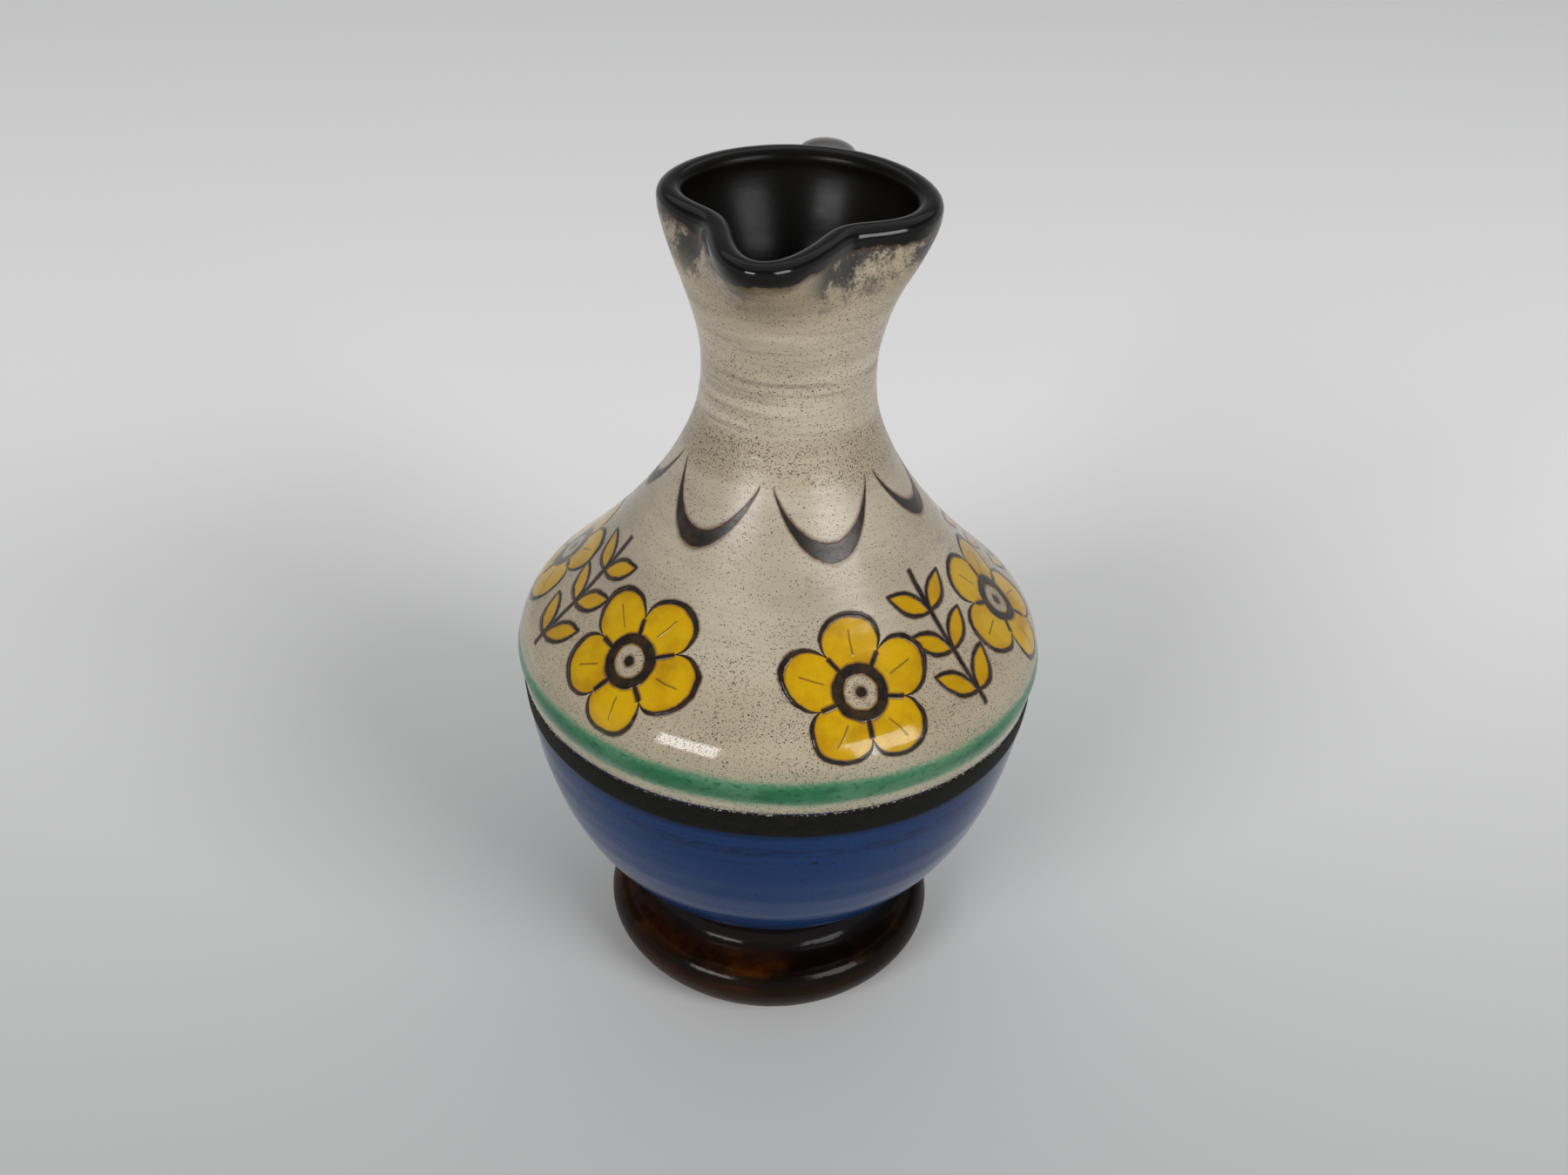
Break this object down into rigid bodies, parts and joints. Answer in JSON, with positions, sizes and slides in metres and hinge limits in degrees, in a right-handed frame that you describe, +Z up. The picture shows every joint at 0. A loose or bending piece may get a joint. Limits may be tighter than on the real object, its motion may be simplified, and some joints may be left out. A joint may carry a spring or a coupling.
{
  "type": "oinochoe jug",
  "caption": "Footed, hand-thrown pottery jug with a round belly, a narrow neck, a pinched pouring lip and an arched strap handle at the back.",
  "frame": {"origin": "on the rest plane, on the jug's axis, in the middle of the foot ring", "axes": "+Z up along the jug's axis, the spout points along -Y and the handle stands along +Y"},
  "size_m": [0.1122, 0.1122, 0.1801],
  "materials": {
    "foot_glaze": "gloss",
    "blue_glaze": "gloss",
    "cream_glaze": "gloss",
    "liner_glaze": "gloss",
    "black_slip": "matt",
    "green_glaze": "gloss"
  },
  "bodies": {
    "root": {"foot": "foot_glaze", "bowl": "blue_glaze", "shoulder": "cream_glaze", "neck": "cream_glaze", "mouth": "liner_glaze", "handle": "liner_glaze", "black_band": "black_slip", "green_line": "green_glaze"}
  },
  "joints": []
}
